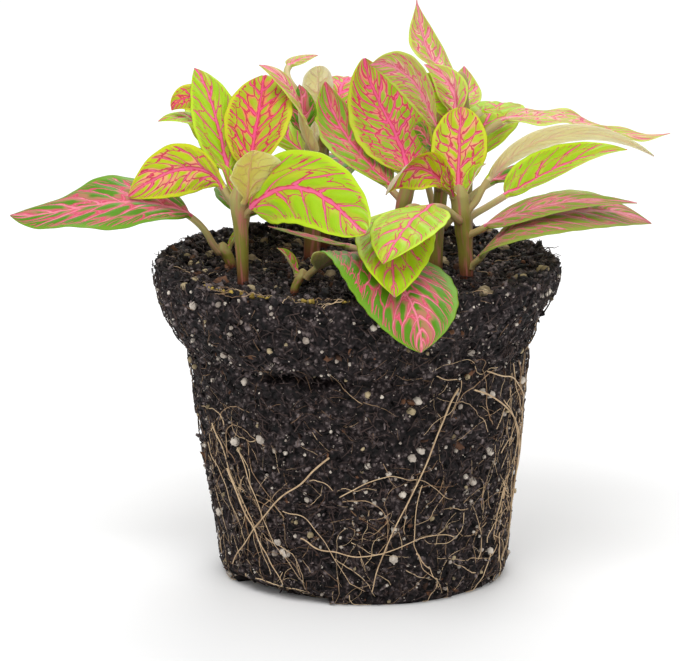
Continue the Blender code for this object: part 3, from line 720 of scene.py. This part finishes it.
def build_leaf(leaf, number, faces_by_kind, unders_by_kind, petiole_skin):
    """Petiole and blade in one closed mesh: an upper and a lower sheet that meet at the edges."""
    chance = np.random.default_rng(100 + number)
    pairs = max(3, round(leaf.length / leaf.spacing))
    spacing = leaf.length / pairs
    # t runs from -1 at the stem through 0 at the blade's base to 1 at its tip; s runs across
    petiole_share = leaf.petiole / (leaf.petiole + leaf.length)
    t_petiole = np.linspace(-1.0, 0.0, PETIOLE_ROWS, endpoint=False)
    t_blade = BLADE_END * np.linspace(0.0, 1.0, BLADE_ROWS) ** 1.1
    t = np.concatenate([t_petiole, t_blade])
    share = np.where(t < 0, (1 + t) * petiole_share, petiole_share + t * (1 - petiole_share))
    centre, side, normal = leaf_frame(leaf, share)
    centre = rooted_centre(leaf, centre, share)
    turns = np.linspace(-1.0, 1.0, BLADE_COLUMNS + 1)
    s = np.sin(turns * QUARTER_TURN)[None, :] * 0.5 + turns[None, :] * 0.5
    t_in = np.clip(t, 0.0, 1.0)[:, None]
    outline = blade_outline(leaf, t_in)
    flat = np.clip(t_in / FLAT_FROM, 0.0, 1.0)
    # half the width and thickness, with the petiole's flare where it meets the stem
    ripple = 1 + EDGE_RIPPLE * np.sin(pairs * 2 * math.pi * t_in + chance.uniform(0, 6)) * flat
    half_width = np.maximum(0.5 * leaf.width * outline * ripple, PETIOLE_RADIUS * (1 - 0.8 * t_in))
    flare = 1 + STEM_FLARE * np.clip((-t[:, None] - 0.6) / 0.4, 0.0, 1.0) ** 2
    half_width = half_width * flare
    half_thick = PETIOLE_RADIUS * (1 - flat) * flare + 0.5 * BLADE_THICKNESS * flat
    half_thick = half_thick * (1 - 0.5 * t_in)
    rounding = np.sqrt(np.clip(1 - s * s, 0, 1))
    # cup, waves along the edge and slow bends
    sway = slow_sway(chance, t_in, s)
    size = min(1.0, leaf.width / FULL_SWAY_WIDTH)
    lift = leaf.cup * half_width * flat * (0.45 * np.abs(s) + 0.55 * s * s)
    phase_turn = np.where(s < 0, 0.25, 0.0)
    lift = lift + leaf.wave * s * s * outline * np.sin(2 * math.pi * (leaf.waves * t_in + phase_turn))
    lift = lift + SWAY * size * sway * flat * s * s
    # the blade is quilted: puffed between side veins and folded down along the midrib
    wander = VEIN_STRAY * np.sin(5.1 * t_in + 4.0 * s + chance.uniform(0, 6))
    phase = vein_phase(pairs, t_in, s, wander)
    puff = np.sin(math.pi * phase) ** 2 * np.clip(np.abs(s) * 5, 0, 1) * (1 - np.abs(s) ** 3)
    lift = lift + PUFF * spacing * puff * flat * np.sqrt(outline)
    groove = np.exp(-(np.abs(s) * half_width / (GROOVE_WIDTH * spacing)) ** 2)
    lift = lift - GROOVE_DEPTH * spacing * groove * flat * (1 - t_in)
    reach = s * half_width * (1 - 0.25 * leaf.cup * flat)
    surface = centre[:, None, :] + side[:, None, :] * reach[..., None] + normal[:, None, :] * lift[..., None]
    offset = normal[:, None, :] * (half_thick * rounding)[..., None]
    points = np.vstack([(surface + offset).reshape(-1, 3), (surface - offset)[:, 1:-1].reshape(-1, 3),
                        centre[:1], centre[-1:]])
    columns = BLADE_COLUMNS + 1
    faces, slots = two_sheets(len(t), columns)
    maps = {}
    for name, u, v in (("blade", t_in, 0.5 + 0.5 * s),
                       ("net", phase + 40.0 * number, s * half_width / spacing),
                       ("skin", 0.5 + 0.5 * s, np.clip(share[:, None] * 3, 0, 1))):
        grid = np.stack(np.broadcast_arrays(u, v), -1)
        ends = grid[[0, -1], columns // 2]
        maps[name] = np.vstack([grid.reshape(-1, 2), grid[:, 1:-1].reshape(-1, 2), ends])
    materials = [faces_by_kind[leaf.face], unders_by_kind[leaf.under], petiole_skin]
    made = mesh_object(leaf.name + "_leaf", points, faces, materials, slots, maps)
    if leaf.sits_with:
        seat(made, frame_slot("leaf_" + leaf.sits_with))
    else:
        seat(made, frame_slot("leaf_" + leaf.name), "leaf_" + leaf.name)


def frame_slot(node):
    """The record's material slot of a CAD node."""
    for part in frame["record"]["subparts"]:
        if part["node"] == node:
            return part["material_slot"]
    raise ValueError("no such node: " + node)


def build_leaves():
    """Every leaf and sprout, with the upper and lower skins they share."""
    faces_by_kind = {kind: blade_face("blade_face_" + kind, *look) for kind, look in FACES.items()}
    unders_by_kind = {kind: blade_under("blade_under_" + kind, *look) for kind, look in UNDERS.items()}
    petiole_green = stem_skin("petiole_skin", "#9c8a56", "#b4aa6c", "#c6bd80", "#cc8c80")
    # a leaf that is folded shut shows its lower skin on both sides
    faces_by_kind["fold"] = unders_by_kind["fold"]
    for number, leaf in enumerate(LEAVES + SPROUTS):
        build_leaf(leaf, number, faces_by_kind, unders_by_kind, petiole_green)


# ---- stems ----
def stem_ring(middle, radii, turn, height):
    return np.stack([middle[0] + radii * np.cos(turn), middle[1] + radii * np.sin(turn),
                     np.full(STEM_SIDES, height)], -1)


def build_stem(stem, number, skin):
    """A soft round stem with shallow ribs, thicker at the nodes and rounded at its end."""
    chance = np.random.default_rng(500 + number)
    shares = np.linspace(0.0, 1.0, STEM_ROWS)
    turn = np.linspace(0, FULL_TURN, STEM_SIDES, endpoint=False)
    height = STEMS[stem][2]
    nodes_at = sorted({leaf.at for leaf in LEAVES if leaf.stem == stem})
    rings = []
    for k, share in enumerate(shares):
        middle = stem_point(stem, share)
        sunk = FOOT_DEPTH if k == 0 else 0.0
        swell = sum(math.exp(-((share - at) * height / 1.6) ** 2) for at in nodes_at)
        ribs = 0.05 * np.sin(4 * turn + 2.0 * share + chance.uniform(0, 0.05))
        radii = stem_radius(stem, share) * (1 + 0.10 * swell + ribs)
        rings.append(stem_ring(middle, radii, turn, middle[2] - sunk))
    top = stem_point(stem, 1.0)
    radius = stem_radius(stem, 1.0)
    for k in range(1, CAP_ROWS):
        bend = k / CAP_ROWS * math.pi / 2
        rings.append(stem_ring(top, radius * math.cos(bend) ** 1.3, turn,
                               top[2] + CAP_RISE * radius * math.sin(bend)))
    faces = grid_faces(len(rings), STEM_SIDES)
    points = np.vstack(rings + [top + np.array([0, 0, CAP_RISE * radius])])
    rise = np.concatenate([shares, np.ones(CAP_ROWS - 1)])
    pairs = np.stack(np.broadcast_arrays(turn / FULL_TURN + number, rise[:, None]), -1)
    pairs = np.vstack([pairs.reshape(-1, 2), [[0.5, 1.0]]])
    apex = len(points) - 1
    last = apex - STEM_SIDES
    for c in range(STEM_SIDES):
        faces.append((last + c, last + (c + 1) % STEM_SIDES, apex))
    faces.append(tuple(range(STEM_SIDES))[::-1])
    made = mesh_object(stem + "_stem", points, faces, [skin], uvs={"skin": pairs})
    seat(made, "stem", "stem_" + stem)


def build_stems():
    stem_green = stem_skin("stem_skin", "#6f3c2a", "#7f7a2c", "#a9a060", "#b06a60")
    for number, stem in enumerate(STEMS):
        build_stem(stem, number, stem_green)


# ---- root ball ----
def ball_axis(z):
    return BALL_SHIFT + BALL_LEAN * z


def side_radius(z, degrees):
    """Radius of the plug's side where it is whole, with its shallow lumps and worn collar."""
    angle = math.radians(degrees)
    radius = float(np.interp(z, SIDE_HEIGHTS, SIDE_RADII))
    lumps = LUMP * math.sin(5 * angle + 0.11 * z) * math.sin(3 * angle - 0.07 * z)
    wear = max(0.0, math.cos(angle)) * math.exp(-((z - WEAR_HEIGHT) / WEAR_SPREAD) ** 2)
    notch = 1.0 if NOTCH_FROM < degrees % 360 < NOTCH_TO else 0.0
    undercut = notch * NOTCH_DEPTH * max(0.0, 1 - z / NOTCH_HEIGHT)
    return radius + lumps - COLLAR_WEAR * wear - undercut


def ball_point(z, angle, radius):
    return Vector((ball_axis(z) + radius * math.cos(angle), radius * math.sin(angle), z))


def side_point(z, degrees, outward=0.0):
    """A point on the plug's side, in millimetres."""
    return ball_point(z, math.radians(degrees), side_radius(z, degrees) + outward)


def soil_height(radius):
    return float(np.interp(radius, SOIL_RADII, SOIL_HEIGHTS))


def crumble(point):
    """How far the surface stands in or out at a point: clods, crumbs and the gaps between them."""
    clods = CLODS[1] * noise.noise(point * CLODS[0])
    crumb = noise.voronoi(point * CRUMBS[0])[0]
    grit = noise.voronoi(point * GRIT[0])[0]
    gap = max(0.0, 1 - 5 * (crumb[1] - crumb[0]))
    lumps = clods + CRUMBS[1] * (0.5 - crumb[0]) + GRIT[1] * (0.5 - grit[0])
    return lumps - CRUMB_GAP * gap - 0.25


def crack(z, degrees):
    """Depth of the dark crack where the collar has lifted off the body, front left."""
    ragged = noise.noise_vector(Vector((degrees * 0.12, z * 0.3, 4.0)))
    around = math.exp(-((degrees - CRACK_MIDDLE + 5 * ragged.x) / CRACK_SPREAD) ** 4)
    middle = CRACK_HEIGHT + 1.4 * ragged.y
    half_height = 0.9 + 0.5 * ragged.z
    return CRACK_DEPTH * around * math.exp(-((z - middle) / half_height) ** 2)


def build_plug(material):
    """The plug: base, side, rim and soil in one closed mesh, crumbled by noise."""
    degrees = [360.0 * k / BALL_TURNS for k in range(BALL_TURNS)]
    points = []
    for r in range(SIDE_ROWS):
        z = RIM_HEIGHT * (r / (SIDE_ROWS - 1))
        fade = min(1.0, z / 1.2)
        for a in degrees:
            middle = side_point(z, a)
            outward = crumble(middle) - crack(z, a)
            raised = 0.0 if r == 0 else 0.5 * noise.noise(middle * 0.8) * fade
            points.append(side_point(z + raised, a, outward * fade - 0.5 * (1 - fade)))
    for r in range(1, SOIL_ROWS):
        radius = RIM_RADIUS * (1 - r / SOIL_ROWS)
        for a in degrees:
            middle = ball_point(soil_height(radius), math.radians(a), radius)
            middle.z += min(0.6, 1.3 * crumble(middle)) - 0.4 * (radius < 47)
            points.append(middle)
    faces = grid_faces(SIDE_ROWS + SOIL_ROWS - 1, BALL_TURNS)
    base = len(points)
    top = base + 1
    last = base - BALL_TURNS
    points += [Vector((BALL_SHIFT, 0.0, 0.0)), Vector((ball_axis(SOIL_TOP), 0.0, SOIL_HEIGHTS[0]))]
    for c in range(BALL_TURNS):
        n = (c + 1) % BALL_TURNS
        faces += [(base, n, c), (top, last + c, last + n)]
    tones = [0.5 + 0.5 * noise.noise(p * 0.5) for p in points]
    made = mesh_object("peat_plug", [tuple(p) for p in points], faces, [material], tones=tones)
    seat(made, "peat", "root_ball")


# ---- grains and crumbs ----
def lump_template(levels, seed, spikes):
    """A rough pebble of unit radius: an icosphere with each point moved in or out."""
    form = bmesh.new()
    bmesh.ops.create_icosphere(form, subdivisions=levels, radius=1.0)
    points = np.array([v.co[:] for v in form.verts])
    faces = np.array([[v.index for v in f.verts] for f in form.faces])
    form.free()
    for k, p in enumerate(points):
        points[k] = p * (1 + spikes * noise.noise(Vector(p) * 1.7 + Vector((seed, 0, 0))))
    return points, faces


def random_turn(chance):
    """A random rotation as a 3 by 3 matrix."""
    q = chance.normal(size=4)
    w, x, y, z = q / np.linalg.norm(q)
    return np.array([[1 - 2 * (y * y + z * z), 2 * (x * y - z * w), 2 * (x * z + y * w)],
                     [2 * (x * y + z * w), 1 - 2 * (x * x + z * z), 2 * (y * z - x * w)],
                     [2 * (x * z - y * w), 2 * (y * z + x * w), 1 - 2 * (x * x + y * y)]])


def spot_on_side(chance, zone, sink):
    """A random point on the plug's side within a zone of angles and heights."""
    degrees = chance.uniform(zone[0], zone[1])
    z = chance.uniform(zone[2], zone[3])
    outward = max(crumble(side_point(z, degrees)), -0.6) - crack(z, degrees % 360) - sink
    return side_point(z, degrees, outward)


def spot_on_soil(chance, zone, sink):
    """A random point on the soil within a zone of angles and distances from the middle."""
    angle = math.radians(chance.uniform(zone[0], zone[1]))
    radius = math.sqrt(chance.uniform(zone[2] ** 2, zone[3] ** 2))
    return ball_point(soil_height(radius) - sink, angle, radius)


def scatter(name, count, spot, zone, sizes, shape, levels, spikes, material, seed, sink=0.3):
    """Many small lumps over a zone of the plug, joined in one piece; sink is how deep they sit."""
    chance = np.random.default_rng(seed)
    templates = [lump_template(levels, 3.7 * k + seed, spikes) for k in range(6)]
    lumps = Bundle()
    for k in range(count):
        size = sizes[0] * (sizes[1] / sizes[0]) ** (chance.uniform() ** 2) / 2
        middle = spot(chance, zone, sink * size)
        stretch = 1 + (np.array(shape) - 1) * chance.uniform(0.5, 1.0, 3)
        form, faces = templates[k % len(templates)]
        turned = (form * stretch * size) @ random_turn(chance).T + np.array(middle)
        turned[:, 2] += max(0.0, 0.05 - turned[:, 2].min())
        lumps.take(turned, faces, chance.uniform())
    lumps.make(name, material, "peat")


# ---- roots and fibres ----
ROOT_STEPS = 60
SIDE_ROOT_STEPS = 36
# what a root's drawn radius is of the one in its table
ROOT_SHARE = 0.4
SIDE_ROOT_SHARE = 0.7
KNOBBLE = 0.18
STRAND_STEP = 1.1


def tube(line, radii, sides):
    """Points and faces of a closed tube along a line of points."""
    count = len(line)
    rings = []
    for i in range(count):
        along = (line[min(i + 1, count - 1)] - line[max(i - 1, 0)]).normalized()
        outward = Vector((line[i].x, line[i].y, 0.001)).normalized()
        across = along.cross(outward).normalized()
        outward = across.cross(along)
        for k in range(sides):
            turn = FULL_TURN * k / sides
            rings.append(line[i] + radii[i] * (math.cos(turn) * across + math.sin(turn) * outward))
    faces = grid_faces(count, sides)
    faces.append(tuple(range(sides))[::-1])
    faces.append(tuple(range((count - 1) * sides, count * sides)))
    return rings, faces


def thinning(radius, points, loss):
    """Radii of a strand that gets thinner along its points by a share of its radius."""
    return [radius * (1 - loss * i / (points - 1)) for i in range(points)]


def smooth_through(values, share):
    """A smooth value through a short list of values, at a share from 0 to 1 along it."""
    last = len(values) - 1
    k = min(int(share * last), last - 1)
    f = share * last - k
    a = values[max(k - 1, 0)]
    b = values[k]
    c = values[k + 1]
    d = values[min(k + 2, last)]
    slope = c - a
    bend = 2 * a - 5 * b + 4 * c - d
    twist = 3 * b - a - 3 * c + d
    return b + 0.5 * (slope * f + bend * f ** 2 + twist * f ** 3)


def root_line(places, radius, over, steps, wiggle, seed):
    """Points along a root that hugs the plug's side, with its small wanderings."""
    line = []
    for i in range(steps + 1):
        share = i / steps
        degrees = smooth_through([a for a, _ in places], share)
        z = smooth_through([h for _, h in places], share)
        swing = noise.noise_vector(Vector((share * 6.0, seed, 0.5)))
        degrees += wiggle * swing.x
        z = max(z + wiggle * swing.y, radius + 0.1)
        line.append(side_point(z, degrees, radius + 0.35 + over + 0.3 * wiggle * swing.z))
    return line


def build_thick_roots(skin):
    """The thick roots, each its own piece with its taper and knobbly skin."""
    for number, (name, (places, radius, over)) in enumerate(ROOTS.items()):
        line = root_line(places, radius, over, ROOT_STEPS, 1.0, number * 3.1)
        radii = [r * (1 + KNOBBLE * noise.noise(Vector((i * 0.5, number, 0))))
                 for i, r in enumerate(thinning(ROOT_SHARE * radius, len(line), 0.5))]
        root = Bundle()
        root.take(*tube(line, radii, 10), 0.6)
        root.make(name + "_strand", skin, "root", name)


def build_side_roots(skin):
    """The thinner roots that have a route of their own over the plug's side."""
    roots = Bundle()
    for number, (places, radius) in enumerate(SIDE_ROOTS):
        line = root_line(places, radius, 0.1, SIDE_ROOT_STEPS, 1.6, 50 + 2.3 * number)
        roots.take(*tube(line, thinning(SIDE_ROOT_SHARE * radius, len(line), 0.6), 6), 0.7)
    roots.make("side_roots", skin, "root")


def side_strand(chance, zone, length, steepness, lift):
    """Points of a strand that wanders over the plug's side."""
    degrees = chance.uniform(zone[0], zone[1])
    z = chance.uniform(zone[2], zone[3])
    heading = chance.normal(math.pi / 2, steepness) * chance.choice((-1, 1))
    steps = max(3, int(length / STRAND_STEP))
    step = length / steps
    turn = chance.normal(0, 0.05)
    line = []
    for _ in range(steps + 1):
        swell = lift + 0.3 * noise.noise(Vector((degrees, z, 0)) * 0.35)
        line.append(side_point(min(max(z, 0.4), RIM_HEIGHT), degrees, swell))
        heading += turn + chance.normal(0, 0.22)
        degrees += math.degrees(step * math.cos(heading) / side_radius(z, degrees))
        z += step * math.sin(heading)
    return line


def soil_strand(chance, zone, length, steepness, lift):
    """Points of a strand that lies on the soil or sticks a little out of it."""
    point = spot_on_soil(chance, zone, -lift)
    heading = chance.uniform(0, FULL_TURN)
    steps = max(3, int(length / STRAND_STEP))
    step = length / steps
    line = []
    for _ in range(steps + 1):
        line.append(point.copy())
        heading += chance.normal(0, 0.3)
        point.x += step * math.cos(heading)
        point.y += step * math.sin(heading)
        radius = min(math.hypot(point.x, point.y), 49.5)
        point.z = soil_height(radius) + lift + steepness * chance.uniform(-0.3, 0.6)
    return line


def strands(name, path, groups, sides, material, seed, slot):
    """Many thin strands joined in one piece; a group is count, zone, lengths, radii, steepness."""
    chance = np.random.default_rng(seed)
    bundle = Bundle()
    for count, zone, lengths, radii, steepness in groups:
        for _ in range(count):
            length = chance.uniform(*lengths)
            radius = chance.uniform(*radii)
            line = path(chance, zone, length, steepness, radius + 0.25)
            bundle.take(*tube(line, thinning(radius, len(line), 0.6), sides), chance.uniform())
    bundle.make(name, material, slot)


# ---- what the plug is made of ----
# shapes of the lumps: length, width and height as multiples of their size
FLAKE = (1.5, 0.9, 0.6)
CHIP = (1.9, 0.7, 0.45)
STICK = (2.6, 0.6, 0.4)
GRAIN = (1.15, 1.0, 0.85)
# name, finish, count, smallest and largest size, shape, fineness of the mesh, spikes, seed, sink
SIDE_LUMPS = (
    ("peat_crumbs", "peat", 5200, (0.4, 1.7), FLAKE, 1, 0.9, 11),
    ("peat_chips", "peat", 1800, (0.7, 1.8), STICK, 1, 0.7, 21),
    ("perlite_grains", "perlite", 185, (0.9, 2.3), GRAIN, 3, 0.35, 13, -0.1),
    ("perlite_bits", "perlite", 560, (0.5, 1.1), GRAIN, 2, 0.6, 14, -0.1),
    ("perlite_specks", "perlite", 1700, (0.2, 0.5), GRAIN, 1, 0.6, 15, -0.1),
    ("aged_grains", "aged", 130, (0.8, 2.4), GRAIN, 2, 0.5, 22, -0.1),
    ("bark_bits", "bark", 200, (0.6, 2.2), CHIP, 2, 0.7, 18),
)
SOIL_LUMPS = (
    ("soil_crumbs", "peat", 2500, (0.8, 3.2), FLAKE, 1, 0.9, 12),
    ("soil_perlite", "aged", 70, (1.4, 3.8), GRAIN, 3, 0.35, 16),
    ("soil_specks", "perlite", 260, (0.3, 0.9), GRAIN, 1, 0.6, 17),
    ("soil_bark", "bark", 90, (0.8, 3.2), CHIP, 2, 0.7, 19),
)


def build_root_ball():
    """The plug with its crumbs, perlite, bark, moss and fibres."""
    finish = {
        # the near-black tone gathers in the gaps as painted shade; the pale tone is partly lighter clods and
        # partly painted highlight
        "peat": peat("peat_moist", "#040203", "#2d2425", "#988a88"),
        # volcanic glass popped by heat: matt and chalky, with pits
        "perlite": granular("perlite_popped", "#8c8076", "#d8cec0", 0.9, 0.9, 0.2),
        # the same after months in wet peat: dull and cream-brown
        "aged": granular("perlite_stained", "#6e6048", "#bcab88", 0.9, 0.9, 0.2),
        # composted bark: red-brown chips, a little less dull
        "bark": granular("bark_chip", "#2a1b15", "#74503a", 0.8, 0.7, 0.2),
        # dried moss: mustard-yellow tufts on the rim
        "moss": granular("dry_moss", "#7a6426", "#c0a650", 0.9, 0.9, 0.2),
    }
    build_plug(finish["peat"])
    for spot, zone, lumps in ((spot_on_side, WHOLE_SIDE, SIDE_LUMPS),
                              (spot_on_soil, WHOLE_SOIL, SOIL_LUMPS)):
        for name, kind, count, sizes, shape, levels, spikes, seed, *sink in lumps:
            scatter(name, count, spot, zone, sizes, shape, levels, spikes, finish[kind], seed, *sink)
    scatter("rim_moss", 90, spot_on_soil, FRONT_RIM, (0.5, 1.8), FLAKE, 1, 0.9, finish["moss"], 20)
    # peat fibres, dark while wet and tan where they have dried
    dark = granular("peat_fibre", "#0a0606", "#4a3a36", 0.55, 0.9, 0.1)
    brown = granular("dry_fibre", "#3a281e", "#8a6c52", 0.6, 0.9, 0.1)
    strands("dark_fibres", side_strand, ((4600, WHOLE_SIDE, (1.2, 4.0), (0.09, 0.26), 2.0),),
            3, dark, 31, "peat")
    strands("brown_fibres", side_strand, ((620, WHOLE_SIDE, (1.5, 5.0), (0.05, 0.11), 2.0),),
            3, brown, 32, "peat")
    strands("soil_fibres", soil_strand, ((900, WHOLE_SOIL, (2.0, 7.0), (0.08, 0.2), 1.0),),
            3, dark, 33, "peat")


def build_roots():
    """The roots on the outside of the plug, from the thick ones to the finest."""
    # young root: smooth tan skin, with a slight gloss
    skin = granular("root_skin", "#7e5a3e", "#dabe98", 0.6, 0.5, 0.12)
    build_thick_roots(skin)
    build_side_roots(skin)
    strands("rim_debris", soil_strand,
            ((26, FRONT_RIM, (3.0, 11.0), (0.06, 0.13), 0.9),
             (40, WHOLE_SOIL, (2.0, 7.0), (0.05, 0.12), 0.6)), 4, skin, 34, "root")
    strands("fine_roots", side_strand,
            ((95, RIGHT_MAT, (6.0, 26.0), (0.06, 0.18), 0.6),
             (60, LEFT_MAT, (6.0, 22.0), (0.05, 0.17), 0.7),
             (48, FRONT_FOOT, (5.0, 18.0), (0.05, 0.13), 1.3),
             (130, BACK_MATS, (6.0, 24.0), (0.06, 0.18), 0.8),
             (170, BODY_SIDE, (3.0, 11.0), (0.04, 0.1), 2.0)), 4, skin, 35, "root")


# ---- stage ----
FLOOR_REACH = 4000.0
# name, place in metres, width in metres, power in watts
LIGHTS = (
    ("key_light", (-0.2, -0.6, 1.15), 0.8, 7.5),
    ("fill_light", (0.5, -0.9, 0.6), 0.8, 1.8),
    ("back_light", (0.1, 0.8, 0.9), 0.7, 4.8),
)
LIGHTS_AIM = (0, 0, 0.07)
AIR_BRIGHTNESS = 0.62
CAMERA_LENS = 235.3
CAMERA_FILM = 36.0
CAMERA_ELEVATION = math.radians(13.4)
CAMERA_DISTANCE = 1.1
CAMERA_AIM = (-0.005, 0.0, 0.0607)


def place_in_scene(name, data, place, turn):
    made = bpy.data.objects.new(name, data)
    made.location = place
    made.rotation_euler = turn
    bpy.context.scene.collection.objects.link(made)
    return made


def build_floor():
    """Matt white studio floor: it shows only the soft shadow of the plug."""
    material, node = new_material("pale_floor_paint")
    paint = node("BsdfPrincipled", {"Base Color": linear("#fbfbfb"), "Roughness": 0.9,
                                    "Specular IOR Level": 0.1})
    node("OutputMaterial", (paint,))
    r = FLOOR_REACH
    corners = [(-r, -r, 0), (r, -r, 0), (r, r, 0), (-r, r, 0)]
    mesh_object("studio_floor", corners, [(0, 1, 2, 3)], [material])


def build_studio():
    """Even white air, three soft lights and the camera."""
    world = bpy.data.worlds.new("studio_air")
    world.use_nodes = True
    bpy.context.scene.world = world
    air = world.node_tree.nodes["Background"]
    air.inputs[0].default_value = (1.0, 1.0, 1.0, 1.0)
    air.inputs[1].default_value = AIR_BRIGHTNESS
    for name, place, size, power in LIGHTS:
        light = bpy.data.lights.new(name, "AREA")
        light.shape = "DISK"
        light.size = size
        light.energy = power
        facing = Vector(LIGHTS_AIM) - Vector(place)
        place_in_scene(name, light, place, facing.to_track_quat("-Z", "Y").to_euler())
    camera = bpy.data.cameras.new("camera")
    camera.lens = CAMERA_LENS
    camera.sensor_width = CAMERA_FILM
    camera.clip_start = 0.01
    away = Vector((0.0, -math.cos(CAMERA_ELEVATION), math.sin(CAMERA_ELEVATION)))
    bpy.context.scene.camera = place_in_scene(
        "camera", camera, Vector(CAMERA_AIM) + CAMERA_DISTANCE * away,
        (math.pi / 2 - CAMERA_ELEVATION, 0.0, 0.0))
    bpy.context.scene.view_settings.view_transform = "Standard"


build_leaves()
build_stems()
build_root_ball()
build_roots()
build_floor()
build_studio()
